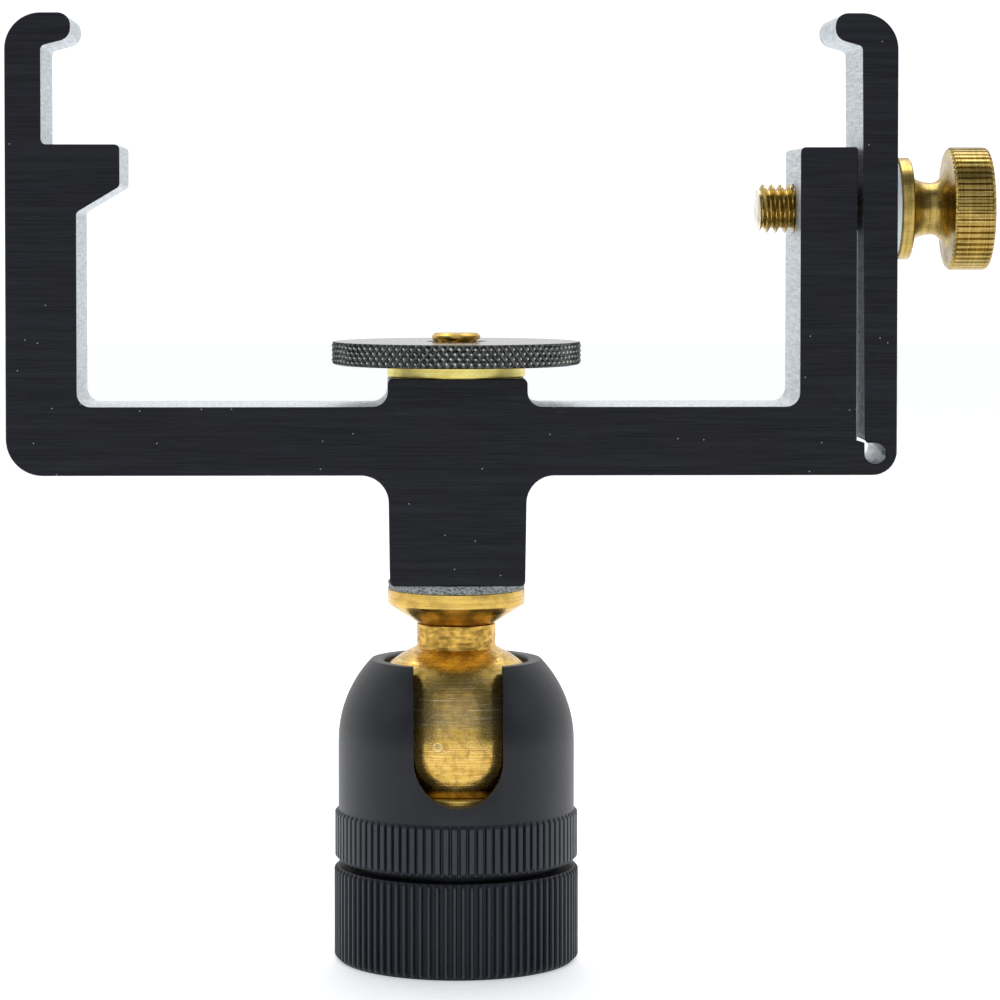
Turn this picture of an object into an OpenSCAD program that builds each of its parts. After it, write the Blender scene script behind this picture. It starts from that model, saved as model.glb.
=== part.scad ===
// Watch movement holder: a two-jaw yoke that swivels on a spindle over a lockable ball joint.
// Millimetres, +Z up. The origin is the centre of the base's underside, and the yoke's
// plate faces along Y. The sprung arm and its thumbscrew are on the +X side.

/* [Yoke plate] */
// Thickness of the plate, front to back
plate_t = 10.5; // [9:0.1:11]
// Outer face of the fixed jaw, measured from the spindle axis
left_x = 35.45; // [35:0.05:37]
// Outer face of the sprung arm, measured from the spindle axis
right_x = 34.6; // [34.4:0.05:34.8]
// Height of the cross bar
bar_h = 5.4; // [5:0.1:6]
// Width of the fixed jaw's lower post
left_post_w = 5.57; // [4.5:0.01:6]
// Width of the jaw above the fixed ledge
jaw_w = 2.82; // [2.4:0.01:3.2]
// Inner face of the fixed post on the screw side, measured from the spindle axis
post_x = 26.95; // [26.5:0.05:27.5]
// Width of the fixed post on the screw side
post_w = 4.5; // [4:0.05:4.6]
// Top of the post above the bar's underside
post_h = 25.8; // [25:0.1:26]
// Top of the ledge above the bar's underside
ledge_h = 26; // [25:0.1:27]
// How far the ledge stands out from the lower post
ledge_w = 3.4; // [2.5:0.1:4.5]
// Height of the ledge's end face
ledge_t = 3.3; // [2.8:0.1:4]
// Drop of the slanted face under the ledge
ledge_slant = 2.03; // [1:0.01:3]
// Top of both hooks above the bar's underside
jaw_h = 36.3; // [36:0.1:38]
// Thickness of a hook at its nose
nose_t = 2; // [1.9:0.05:2.2]
// Height of a hook at its root
hook_t = 2.6; // [2.4:0.05:3]
// How far the fixed hook's nose overhangs its jaw
left_nose = 2.33; // [2.2:0.01:3]
// How far the sprung hook's nose overhangs its arm
right_nose = 2.13; // [2.1:0.01:3]

/* [Stem] */
// Width of the stem below the bar
stem_w = 10.9; // [10:0.1:11.5]
// Width of the stem at its foot
stem_foot_w = 10.66; // [10:0.01:10.9]
// Length of the stem below the bar
stem_drop = 8.74; // [7:0.01:10]
// Width of the boss above the bar
boss_w = 11; // [10:0.1:12]
// Height of the boss above the bar
boss_h = 2.2; // [2:0.05:2.6]

/* [Saw slot] */
// Width of the slot at the top of the post
slot_w_top = 0.4; // [0.38:0.01:0.5]
// Width of the slot at its foot
slot_w_foot = 0.6; // [0.5:0.01:0.7]
// Foot of the slot above the bar's underside
slot_foot = 2.75; // [2.6:0.05:3]
// Radius of the relief hole at the slot's foot
relief_r = 0.84; // [0.7:0.01:0.9]
// Distance from the relief hole's centre to the arm's outer face
relief_in = 1.7; // [1.6:0.01:1.9]
// Height of the relief hole's centre above the bar's underside
relief_h = 1.7; // [1.6:0.05:1.8]
// Gap at the thin web where the arm is separated so that it can swing
web_gap = 0.02; // [0.02:0.005:0.04]

/* [Corner radii] */
// Lower outer corner under the fixed jaw
heel_left_r = 2.9; // [1:0.1:3]
// Lower outer corner under the sprung arm
heel_right_r = 1.9; // [1.2:0.1:1.9]
// Upper outer corners of both jaws
shoulder_r = 2.85; // [1:0.05:3]
// Both corners of a hook's nose
nose_r = 1; // [0.6:0.05:1.05]
// Corners where the posts meet the bar
window_r = 1.1; // [0.5:0.1:2]
// Fillets where the stem meets the bar's underside
stem_r = 2.2; // [1:0.1:3]
// Fillets where the boss meets the bar's top
boss_r = 1.2; // [0.5:0.1:1.5]
// Small broken corners
break_r = 0.4; // [0.2:0.05:0.5]

/* [Threads] */
// Crest radius of the M4 threads on the spindle and the thumbscrew
thread_r = 1.95; // [1.9:0.01:1.97]
// Pitch of those threads, for their lead chamfers
thread_pitch = 0.7; // [0.5:0.1:0.8]
// Radial clearance of everything that turns
run_gap = 0.05; // [0.02:0.01:0.08]

/* [Spindle stack] */
// Radius of the knurled clamp disc
disc_r = 10; // [8:0.1:11]
// Thickness of the clamp disc
disc_t = 1.85; // [1.5:0.05:2.5]
// Radius of the washers and of the flange collar
washer_r = 5.5; // [5.4:0.1:6]
// Thickness of the brass washer under the clamp disc
disc_washer_t = 0.95; // [0.6:0.05:1.2]
// Thickness of the friction washer under the stem
friction_t = 0.66; // [0.5:0.02:1]
// Height of the flange collar
collar_h = 2.8; // [2.5:0.1:3.2]
// Height of the collar's cone
collar_cone = 1.65; // [1.2:0.05:1.8]
// Radius of the collar's cone at its small end
collar_r = 2.95; // [2.6:0.05:3.1]
// How far the spindle stands out of the clamp disc
spindle_proud = 0.67; // [0.3:0.01:0.7]
// How far the spindle screws into the ball stud
spindle_grip = 6.9; // [5:0.1:9]

/* [Ball joint] */
// Radius of the ball
ball_r = 8.2; // [8:0.05:8.2]
// Height of the ball's centre above the base's underside
ball_z = 17.5; // [17.4:0.1:17.7]
// Radius of the stud's neck
neck_r = 3.18; // [3:0.02:3.3]
// Top of the neck above the ball's centre
neck_h = 9.4; // [9.2:0.1:10]
// Outer radius of the socket dome
dome_r = 9.45; // [9.3:0.05:9.5]
// Height of the dome's flat rim above the ball's centre
rim_h = 6.55; // [6.4:0.05:6.7]
// Radius of the dome's mouth
mouth_r = 5.8; // [5.6:0.05:6]
// Width of the slot in the dome that lets the neck lie down
dome_slot_w = 7; // [6.8:0.1:7.2]
// Drop of the slot's round end below the ball's centre
dome_slot_drop = 0.6; // [0.4:0.1:0.8]
// Radius over the dome's knurled band
band_r = 9.72; // [9.6:0.01:9.78]
// Height of the knurled band
band_h = 4; // [3:0.1:4.5]
// Gap between the dome and the base ring when the joint is locked
lock_gap = 0.55; // [0.3:0.05:0.8]

/* [Base] */
// Radius over the base ring's ridges
base_r = 9.78; // [9.7:0.01:10]
// Height of the base ring
base_h = 7.55; // [7.4:0.05:7.7]
// Radius of the threaded spigot that the dome screws onto
spigot_r = 8.2; // [8:0.05:8.2]
// Length of the spigot
spigot_h = 4.45; // [4.2:0.05:4.6]
// Bore of the spigot
spigot_bore_r = 6.9; // [6.8:0.05:7]
// Radius of the mounting thread in the base's underside
mount_r = 2.5; // [2:0.05:3]
// Depth of the mounting thread
mount_l = 6.5; // [5:0.1:6.6]
// Number of ridges round the base ring and round the dome's band
ridges = 90; // [60:1:100]
// Depth of those ridges
ridge_d = 0.25; // [0.1:0.01:0.3]

/* [Thumbscrew] */
// Height of the screw's axis above the bar's underside
screw_h = 21; // [20:0.1:21.2]
// Distance from the spindle axis to the screw's tip
screw_tip_x = 23.9; // [23:0.1:26]
// Radius of the hole in the sprung arm
arm_hole_r = 2.3; // [2.2:0.05:2.6]
// Radius of the white washer
nylon_r = 3.9; // [3.5:0.05:4.2]
// Thickness of the white washer
nylon_t = 0.5; // [0.4:0.05:0.6]
// Gap between the arm and the white washer, which the arm's swing needs
nylon_gap = 0.1; // [0.08:0.01:0.12]
// Radius of the screw's collar
screw_collar_r = 4.07; // [3.8:0.01:4.3]
// Thickness of the screw's collar
screw_collar_t = 1; // [0.6:0.05:1.4]
// Radius of the screw's waist
waist_r = 2.07; // [2:0.01:2.4]
// Length from the collar to the narrowest point of the waist
waist_l = 1.8; // [1.5:0.05:2.2]
// Length from the narrowest point of the waist to the head
flare_l = 1.25; // [1:0.05:1.5]
// Radius where the flare meets the head
flare_r = 4.3; // [4:0.05:4.5]
// Radius over the head's ridges
head_r = 4.89; // [4.7:0.01:5]
// Thickness of the head
head_t = 3.25; // [2.8:0.05:3.6]
// Number of ridges round the head
head_ridges = 56; // [40:1:60]
// Depth of the head's ridges
head_ridge_d = 0.2; // [0.1:0.01:0.25]

/* [Hidden] */

$fn = 96;
arc_steps = 8;      // straight pieces to a quarter turn of a rounded corner
curve_steps = 10;   // straight pieces along a turned curve
over = 1;           // how far a cutter runs past the faces that it cuts

satin_black = "#26282b";
brushed_black = "#212326";
black_oxide = "#2f3234";
bright_brass = "#c9a14a";
raw_brass = "#b78d3c";
grey_fibre = "#8b8f8f";
white_nylon = "#e6e6e2";
spring_steel = "#a9adb0";

// Heights of the stack on the spindle, from the ball joint up
collar_z = ball_z + neck_h;
friction_z = collar_z + collar_h;
foot_z = friction_z + friction_t;
bar_z = foot_z + stem_drop;
bar_top_z = bar_z + bar_h;
boss_z = bar_top_z + boss_h;
disc_z = boss_z + disc_washer_t;
disc_top_z = disc_z + disc_t;
hole_r = thread_r + run_gap;

// Places on the plate
ledge_z = bar_z + ledge_h;
post_z = bar_z + post_h;
jaw_z = bar_z + jaw_h;
hook_z = jaw_z - hook_t;
left_post_x = left_x - left_post_w;
jaw_x = left_x - jaw_w;
slot_x = post_x + post_w;
slot_z = bar_z + slot_foot;
relief_x = right_x - relief_in;
relief_z = bar_z + relief_h;
arm_lean = (slot_w_foot - slot_w_top) / (post_z - slot_z);
arm_foot_x = slot_x + slot_w_foot;
neck_step = 0.2;
arm_hook_x = arm_foot_x - arm_lean * (hook_z - slot_z);
screw_z = bar_z + screw_h;

// Ball joint and base
socket_r = ball_r + run_gap;
rim_z = ball_z + rim_h;
band_z = base_h + lock_gap;
spigot_z = base_h + spigot_h;
floor_z = 8;
base_chamfer = 0.4;
band_chamfer = 0.27;
seat_r = 8.1;
seat_top_z = 13.9;
seat_barrel_r = spigot_bore_r - 2 * run_gap;
seat_foot_z = 9.2;
seat_hole_r = 4.2;
spring_in_r = 4.3;
spring_out_r = 6.6;
spring_t = 0.4;

// Slotted end of the spindle
driver_slot_w = 0.6;
driver_slot_d = 0.9;
disc_countersink = 0.45;
disc_chamfer = 0.2;

// Places along the thumbscrew
nylon_x = right_x + nylon_gap;
screw_collar_x = nylon_x + nylon_t;
waist_x = screw_collar_x + screw_collar_t;
head_x = waist_x + waist_l + flare_l;
head_end_x = head_x + head_t;
waist_shoulder_r = 3.1;
head_round = 0.4;
lead_chamfer = thread_pitch * 0.6;

function unit(v) = v / norm(v);

// Points of the arc of radius r that rounds corner b between its neighbours a and c
function corner_arc(a, b, c, r) =
    let (u = unit(a - b),
         v = unit(c - b),
         half = acos(u * v) / 2,
         middle = b + unit(u + v) * r / sin(half),
         from = b + u * r / tan(half) - middle,
         to = b + v * r / tan(half) - middle,
         start = atan2(from.y, from.x),
         turn = sign(cross(from, to)) * (180 - 2 * half),
         steps = max(2, ceil(arc_steps * abs(turn) / 90)))
    [for (i = [0 : steps]) middle + r * [cos(start + turn * i / steps), sin(start + turn * i / steps)]];

// A closed outline from corners [x, y, radius]
function rounded(corners) =
    let (n = len(corners))
    [for (i = [0 : n - 1])
        let (a = corners[(i + n - 1) % n], b = corners[i], c = corners[(i + 1) % n])
        each b.z == 0 ? [[b.x, b.y]]
                      : corner_arc([a.x, a.y], [b.x, b.y], [c.x, c.y], b.z)];

// Outline of a straight knurl: n ridges that stand d proud, up to radius r.
// crest and root are the flat shares of one ridge's pitch.
function knurl(r, n, d, crest, root) =
    [for (i = [0 : n - 1], k = [-crest / 2, crest / 2, 0.5 - root / 2, 0.5 + root / 2])
        let (a = 360 / n * (i + k), rr = abs(k) <= crest / 2 ? r : r - d)
        rr * [cos(a), sin(a)]];

// A quarter ellipse from [x0, y0] to [x1, y1], flat where it leaves the first point
function quarter(x0, y0, x1, y1) =
    [for (i = [0 : curve_steps])
        let (a = 90 * i / curve_steps)
        [x0 + (x1 - x0) * sin(a), y0 + (y1 - y0) * (1 - cos(a))]];

function backwards(points) = [for (i = [len(points) - 1 : -1 : 0]) points[i]];

// The plate's front outline, slot not yet cut, anticlockwise from the left heel
function plate_corners() = [
    [-left_x, bar_z, heel_left_r],
    [-stem_w / 2, bar_z, stem_r],
    [-stem_foot_w / 2, foot_z, break_r],
    [stem_foot_w / 2, foot_z, break_r],
    [stem_w / 2, bar_z, stem_r],
    [right_x, bar_z, heel_right_r],
    [right_x, jaw_z, shoulder_r],
    [arm_hook_x - right_nose, jaw_z, nose_r],
    [arm_hook_x - right_nose, jaw_z - nose_t, nose_r],
    [arm_hook_x, hook_z, break_r],
    [arm_hook_x + arm_lean * (hook_z - post_z) - slot_w_top, post_z, break_r / 2],
    [post_x, post_z, break_r],
    [post_x, bar_top_z, window_r],
    [boss_w / 2, bar_top_z, boss_r],
    [boss_w / 2, boss_z, break_r],
    [-boss_w / 2, boss_z, break_r],
    [-boss_w / 2, bar_top_z, boss_r],
    [-left_post_x, bar_top_z, window_r],
    [-left_post_x, ledge_z - ledge_t - ledge_slant, break_r],
    [-left_post_x + ledge_w, ledge_z - ledge_t, break_r],
    [-left_post_x + ledge_w, ledge_z, break_r],
    [-jaw_x, ledge_z, break_r],
    [-jaw_x, hook_z, break_r],
    [-jaw_x + left_nose, jaw_z - nose_t, nose_r],
    [-jaw_x + left_nose, jaw_z, nose_r],
    [-left_x, jaw_z, shoulder_r]];

// Extrudes a front outline through the plate's thickness, or further by extra on each side
module through_plate(extra = 0) {
    rotate([90, 0, 0])
        linear_extrude(plate_t + 2 * extra, center = true)
            children();
}

// The saw slot, its slanted neck and the relief hole that ends it
module slot_cut() {
    through_plate(over) {
        polygon([[slot_x, slot_z],
                 [arm_foot_x, slot_z],
                 [arm_hook_x, hook_z - break_r],
                 [slot_x, hook_z - break_r]]);
        polygon([[slot_x, slot_z],
                 [slot_x + slot_w_foot, slot_z - neck_step],
                 [relief_x - relief_r, relief_z],
                 [relief_x, relief_z],
                 [relief_x, relief_z + relief_r],
                 [arm_foot_x + neck_step, relief_z + relief_r],
                 [arm_foot_x, slot_z]]);
    }
    translate([relief_x, 0, relief_z])
        rotate([90, 0, 0])
            cylinder(h = plate_t + 2 * over, r = relief_r, center = true);
}

// Everything on the sprung side of the slot, above a level z of the web
module arm_side(z) {
    through_plate(over)
        polygon([[relief_x, z],
                 [right_x + over, z],
                 [right_x + over, jaw_z + over],
                 [post_x, jaw_z + over],
                 [post_x, post_z + over],
                 [slot_x + slot_w_top / 2, post_z + over],
                 [slot_x + slot_w_foot / 2, slot_z],
                 [arm_foot_x + neck_step * 0.4, slot_z - neck_step * 0.8]]);
}

// The holes for the spindle and for the thumbscrew in the post
module plate_bores() {
    translate([0, 0, foot_z - over])
        cylinder(h = boss_z - foot_z + 2 * over, r = hole_r);
    translate([post_x - over, 0, screw_z])
        rotate([0, 90, 0])
            cylinder(h = post_w + slot_w_top / 2 + over, r = hole_r);
}

module yoke() {
    color(brushed_black)
        difference() {
            through_plate()
                polygon(rounded(plate_corners()));
            slot_cut();
            arm_side(relief_z - web_gap / 2);
            plate_bores();
        }
}

module jaw_arm() {
    color(brushed_black)
        difference() {
            intersection() {
                through_plate()
                    polygon(rounded(plate_corners()));
                arm_side(relief_z + web_gap / 2);
            }
            slot_cut();
            translate([slot_x, 0, screw_z])
                rotate([0, 90, 0])
                    cylinder(h = right_x - slot_x + over, r = arm_hole_r);
        }
}

// A flat ring between two heights
module ring(z, t, r, bore) {
    translate([0, 0, z])
        difference() {
            cylinder(h = t, r = r);
            translate([0, 0, -over])
                cylinder(h = t + 2 * over, r = bore);
        }
}

module disc_washer() {
    color(bright_brass)
        ring(boss_z, disc_washer_t, washer_r, hole_r);
}

module clamp_disc() {
    color(black_oxide)
        rotate_extrude()
            polygon([[hole_r, disc_z],
                     [disc_r - disc_chamfer, disc_z],
                     [disc_r, disc_z + disc_chamfer],
                     [disc_r, disc_top_z - disc_chamfer],
                     [disc_r - disc_chamfer, disc_top_z],
                     [hole_r + disc_countersink, disc_top_z],
                     [hole_r, disc_top_z - disc_countersink]]);
}

module friction_washer() {
    color(grey_fibre)
        ring(friction_z, friction_t, washer_r, hole_r);
}

module flange_collar() {
    color(raw_brass)
        rotate_extrude()
            polygon([[hole_r, collar_z],
                     [collar_r, collar_z],
                     [washer_r, collar_z + collar_cone],
                     [washer_r, friction_z],
                     [hole_r, friction_z]]);
}

// The headless M4 spindle, with a screwdriver slot in its top
module spindle() {
    foot = collar_z - spindle_grip;
    top = disc_top_z + spindle_proud;
    color(bright_brass)
        difference() {
            rotate_extrude()
                polygon([[0, foot],
                         [thread_r - lead_chamfer, foot],
                         [thread_r, foot + lead_chamfer],
                         [thread_r, top - lead_chamfer / 2],
                         [thread_r - lead_chamfer / 2, top],
                         [0, top]]);
            translate([-thread_r - over, -driver_slot_w / 2, top - driver_slot_d])
                cube([2 * (thread_r + over), driver_slot_w, driver_slot_d + over]);
        }
}

module ball_stud() {
    color(raw_brass)
        difference() {
            union() {
                translate([0, 0, ball_z])
                    sphere(r = ball_r);
                translate([0, 0, ball_z])
                    cylinder(h = neck_h, r = neck_r);
            }
            translate([0, 0, collar_z - spindle_grip - thread_pitch])
                cylinder(h = spindle_grip + thread_pitch + over, r = hole_r);
        }
}

// The dome holds the ball down, and screws onto the base's spigot
module socket_dome() {
    color(satin_black)
        difference() {
            union() {
                translate([0, 0, band_z])
                    cylinder(h = ball_z - band_z, r = dome_r);
                intersection() {
                    translate([0, 0, ball_z])
                        sphere(r = dome_r);
                    translate([0, 0, ball_z - over])
                        cylinder(h = rim_h + over, r = dome_r + over);
                }
                intersection() {
                    translate([0, 0, band_z])
                        linear_extrude(band_h)
                            polygon(knurl(band_r, ridges, ridge_d, 0.55, 0.15));
                    rotate_extrude()
                        polygon([[0, band_z],
                                 [band_r - band_chamfer, band_z],
                                 [band_r + over, band_z + band_chamfer + over],
                                 [band_r + over, band_z + band_h - band_chamfer - over],
                                 [band_r - band_chamfer, band_z + band_h],
                                 [0, band_z + band_h]]);
                }
            }
            translate([0, 0, band_z - over])
                cylinder(h = ball_z - band_z + over, r = socket_r);
            translate([0, 0, ball_z])
                sphere(r = socket_r);
            translate([0, 0, ball_z])
                cylinder(h = rim_h + over, r = mouth_r);
            translate([0, 0, ball_z - dome_slot_drop])
                rotate([90, 0, 0])
                    cylinder(h = dome_r + over, r = dome_slot_w / 2);
            translate([-dome_slot_w / 2, -dome_r - over, ball_z - dome_slot_drop])
                cube([dome_slot_w, dome_r + over, rim_h + dome_slot_drop + over]);
        }
}

// The brass cup that carries the ball, its barrel guided in the spigot
module ball_seat() {
    color(bright_brass)
        difference() {
            union() {
                translate([0, 0, spigot_z])
                    cylinder(h = seat_top_z - spigot_z, r = seat_r);
                translate([0, 0, seat_foot_z])
                    cylinder(h = spigot_z - seat_foot_z, r = seat_barrel_r);
            }
            translate([0, 0, ball_z])
                sphere(r = socket_r);
            translate([0, 0, seat_foot_z - over])
                cylinder(h = seat_top_z - seat_foot_z + 2 * over, r = seat_hole_r);
        }
}

// The disc spring that keeps the ball from falling loose when the dome is slackened
module seat_spring() {
    color(spring_steel)
        rotate_extrude()
            polygon([[spring_out_r, floor_z],
                     [spring_out_r, floor_z + spring_t],
                     [spring_in_r, seat_foot_z],
                     [spring_in_r, seat_foot_z - spring_t]]);
}

// The base ring, with the spigot above it and the mounting thread below
module base_ring() {
    color(satin_black)
        difference() {
            union() {
                intersection() {
                    linear_extrude(base_h)
                        polygon(knurl(base_r, ridges, ridge_d, 0.25, 0.45));
                    rotate_extrude()
                        polygon([[0, 0],
                                 [base_r - base_chamfer, 0],
                                 [base_r + over, base_chamfer + over],
                                 [base_r + over, base_h - band_chamfer - over],
                                 [base_r - band_chamfer, base_h],
                                 [0, base_h]]);
                }
                translate([0, 0, base_h - over])
                    cylinder(h = spigot_h + over, r = spigot_r);
            }
            translate([0, 0, floor_z])
                cylinder(h = spigot_z - floor_z + over, r = spigot_bore_r);
            translate([0, 0, -over])
                cylinder(h = mount_l + over, r = mount_r);
        }
}

module nylon_washer() {
    color(white_nylon)
        translate([0, 0, screw_z])
            rotate([0, 90, 0])
                ring(nylon_x, nylon_t, nylon_r, thread_r + 2 * run_gap);
}

// Half profile of the thumbscrew, along its axis and out to its surface
function screw_profile() = concat(
    [[screw_tip_x, 0],
     [screw_tip_x, thread_r - lead_chamfer],
     [screw_tip_x + lead_chamfer, thread_r],
     [screw_collar_x, thread_r],
     [screw_collar_x, screw_collar_r],
     [waist_x, screw_collar_r]],
    backwards(quarter(waist_x + waist_l, waist_r, waist_x, waist_shoulder_r)),
    quarter(waist_x + waist_l, waist_r, head_x, flare_r),
    [[head_x, 0]]);

// Turns a profile of [place along X, radius] about the screw's axis
module turned(points) {
    translate([0, 0, screw_z])
        rotate([0, 90, 0])
            rotate_extrude()
                polygon([for (p = points) [p.y, p.x]]);
}

module thumbscrew() {
    color(bright_brass) {
        turned(screw_profile());
        intersection() {
            translate([head_x, 0, screw_z])
                rotate([0, 90, 0])
                    linear_extrude(head_t)
                        polygon(knurl(head_r, head_ridges, head_ridge_d, 0.5, 0.2));
            turned([[head_x, 0],
                    [head_x, head_r - head_ridge_d],
                    [head_x + head_ridge_d + over, head_r + over],
                    [head_end_x - head_round - over, head_r + over],
                    [head_end_x, head_r - head_round],
                    [head_end_x, 0]]);
        }
    }
}

base_ring();
seat_spring();
ball_seat();
socket_dome();
ball_stud();
flange_collar();
spindle();
friction_washer();
yoke();
jaw_arm();
disc_washer();
clamp_disc();
nylon_washer();
thumbscrew();
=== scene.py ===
# %% [markdown]
# # A watch movement holder
#
# The holder grips a watch movement between two jaws. Its yoke swivels on a spindle, over a ball
# joint that is locked by screwing a dome down onto a knurled base ring. The CAD model already holds
# every size and every joint, so this notebook only works on what the eye sees: knurls, threads,
# broken edges and metal finishes. It starts by loading that model as a fixed frame.

# %% Load the frame
import math

import bmesh
import bpy
import numpy as np
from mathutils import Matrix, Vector


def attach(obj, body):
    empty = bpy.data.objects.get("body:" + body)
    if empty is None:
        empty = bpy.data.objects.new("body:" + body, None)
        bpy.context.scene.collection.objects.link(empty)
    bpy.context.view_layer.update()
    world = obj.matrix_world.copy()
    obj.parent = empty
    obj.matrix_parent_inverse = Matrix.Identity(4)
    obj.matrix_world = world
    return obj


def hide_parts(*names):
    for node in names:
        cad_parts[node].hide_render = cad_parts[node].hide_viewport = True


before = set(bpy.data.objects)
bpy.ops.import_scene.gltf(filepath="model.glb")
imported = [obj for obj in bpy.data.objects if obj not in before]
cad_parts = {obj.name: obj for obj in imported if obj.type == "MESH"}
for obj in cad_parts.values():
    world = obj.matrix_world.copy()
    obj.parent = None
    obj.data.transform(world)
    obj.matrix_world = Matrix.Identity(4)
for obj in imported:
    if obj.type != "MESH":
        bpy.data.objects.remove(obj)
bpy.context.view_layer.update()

MM = 0.001

# %% [markdown]
# ## Camera
#
# The holder is seen from the front, from a little above the ball joint and from far enough away
# that the plate hardly tapers. A long lens does that. A small shift keeps the uprights parallel, as
# a view camera would, and the rest of the framing is the camera's own tilt.

# %% Camera
LENS_MM = 128.3
EYE = Vector((-6.3, -284.8, 58.7)) * MM
AIM = Vector((-1.3, 0.0, 48.8)) * MM

camera_data = bpy.data.cameras.new("camera")
camera_data.lens = LENS_MM
camera_data.shift_x = 0.06
camera_data.shift_y = -0.15
camera_data.clip_start = 0.01
camera = bpy.data.objects.new("camera", camera_data)
bpy.context.scene.collection.objects.link(camera)
camera.location = EYE
camera.rotation_euler = (AIM - EYE).to_track_quat("-Z", "Y").to_euler()
bpy.context.scene.camera = camera
print("camera distance in mm:", round((AIM - EYE).length / MM, 1))

# %% [markdown]
# ## From numbers to meshes
#
# Nearly every piece here came off a lathe, and a lathe makes a profile that is carried round an
# axis. As a mesh that is a grid: one row for each point of the profile, one column for each angle.
# Numpy works out all points at once, and the same few helpers serve every piece. The plate is the
# exception: it was milled, so its outline is carried through its thickness.

# %% Grids and meshes
def grid_faces(rows, columns, close_rows=False):
    """Corner numbers of a grid's quads: each joins a point to its neighbours in this row and the
    next. Columns always wrap round; rows wrap too when close_rows is true."""
    row = np.arange(rows if close_rows else rows - 1)
    column = np.arange(columns)
    i, j = np.meshgrid(row, column, indexing="ij")
    i2, j2 = (i + 1) % rows, (j + 1) % columns
    quads = [i * columns + j, i * columns + j2, i2 * columns + j2, i2 * columns + j]
    return np.stack(quads, axis=-1).reshape(-1, 4)


def outward(points, faces):
    """Faces turned round if they enclose a negative volume, which is the sum over all quads of
    the triple product of their corners."""
    a, b, c, d = (points[faces[:, k]] for k in range(4))
    volume = np.einsum("ij,ij->", a, np.cross(b, c)) + np.einsum("ij,ij->", a, np.cross(c, d))
    return faces[:, ::-1] if volume < 0 else faces


def in_scene(name, points, faces, *materials):
    """An object in the scene whose mesh has these points, in millimetres, and these faces."""
    mesh = bpy.data.meshes.new(name)
    mesh.from_pydata((points * MM).tolist(), [], [[int(k) for k in f] for f in faces])
    for material in materials:
        mesh.materials.append(material)
    thing = bpy.data.objects.new(name, mesh)
    bpy.context.scene.collection.objects.link(thing)
    return thing


def new_piece(name, points, faces, materials, body, slot, *nodes, face_material=None):
    """A piece that rides on a body and stands for CAD nodes. Points that coincide, as at a pole,
    are merged, and its edges are crisp. face_material numbers each face's material."""
    piece = in_scene(name, points, faces, *materials)
    mesh = piece.data
    if face_material is not None:
        mesh.polygons.foreach_set("material_index", np.asarray(face_material, np.int32))
    merge_points(piece)
    crisp_edges(piece)
    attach(piece, body)
    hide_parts(*nodes)
    print(f"{name}: {len(mesh.vertices)} points, {len(mesh.polygons)} faces")
    return piece


def merge_points(piece, distance=1e-7):
    """Merges points closer than distance in metres and drops faces that vanish with them."""
    work = bmesh.new()
    work.from_mesh(piece.data)
    bmesh.ops.remove_doubles(work, verts=work.verts, dist=distance)
    bmesh.ops.dissolve_degenerate(work, edges=work.edges, dist=distance)
    work.to_mesh(piece.data)
    work.free()


def crisp_edges(piece, degrees=32.0):
    """Smooth shading with sharp edges wherever two faces meet at more than this angle."""
    piece.data.shade_smooth()
    piece.data.set_sharp_from_angle(angle=math.radians(degrees))


def apply(piece, modifier):
    """Gives the piece the mesh that its modifier makes of it."""
    bpy.context.view_layer.update()
    shaped = bpy.data.meshes.new_from_object(
        piece.evaluated_get(bpy.context.evaluated_depsgraph_get()))
    piece.modifiers.remove(modifier)
    plain = piece.data
    shaped.name, piece.data = plain.name, shaped
    bpy.data.meshes.remove(plain)
    crisp_edges(piece)


def points_of(mesh):
    """A mesh's points in millimetres, one in each row."""
    points = np.empty(len(mesh.vertices) * 3, np.float32)
    mesh.vertices.foreach_get("co", points)
    return points.reshape(-1, 3) / MM


# %% [markdown]
# ## Profiles
#
# A profile is a list of (radius, height) points. `arc` gives the round stretches and `fine` puts
# extra points along the straight ones where a pattern has to be cut into them. `lathe` spins the
# profile and adds a relief, which is how knurls and threads are cut: they only change the radius.

# %% Profiles and the lathe
def arc(centre, radius, start, stop, steps=8):
    """Points of a circle about centre from angle start to stop, in degrees."""
    a = np.radians(np.linspace(start, stop, steps + 1))
    return np.stack([centre[0] + radius * np.cos(a), centre[1] + radius * np.sin(a)], axis=1)


def fine(start, stop, step):
    """Points from start to stop on a straight line, no further apart than step."""
    start, stop = np.array(start, float), np.array(stop, float)
    count = max(1, math.ceil(np.linalg.norm(stop - start) / step))
    return start + (stop - start) * np.linspace(0, 1, count + 1)[:, None]


def profile(*parts):
    """One profile from points and runs of points."""
    return np.vstack([np.atleast_2d(part) for part in parts])


def even_angles(count):
    """Angles in radians spread evenly round the axis."""
    return 2 * np.pi * np.arange(count) / count


def lathe(outline, angles, relief=0.0, closed=False):
    """A turned shape. Each profile point (r, z) goes round the Z axis, to
    ((r + relief) cos a, (r + relief) sin a, z). A closed outline makes a ring with a bore."""
    radius = outline[:, :1] + np.broadcast_to(relief, (len(outline), len(angles)))
    height = np.broadcast_to(outline[:, 1:], radius.shape)
    points = np.stack([radius * np.cos(angles), radius * np.sin(angles), height], axis=-1)
    points = points.reshape(-1, 3)
    return points, outward(points, grid_faces(len(outline), len(angles), closed))


def turned(name, outline, angles, finish, body, slot, node, relief=0.0, closed=True):
    """A lathe piece of one finish."""
    points, faces = lathe(outline, angles, relief, closed)
    return new_piece(name, points, faces, [finish], body, slot, node)


def joined(*shapes):
    """Several shapes of (points, faces) as one."""
    starts = np.cumsum([0] + [len(p) for p, _ in shapes[:-1]])
    return (np.vstack([p for p, _ in shapes]),
            np.vstack([f + s for (_, f), s in zip(shapes, starts)]))


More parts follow.
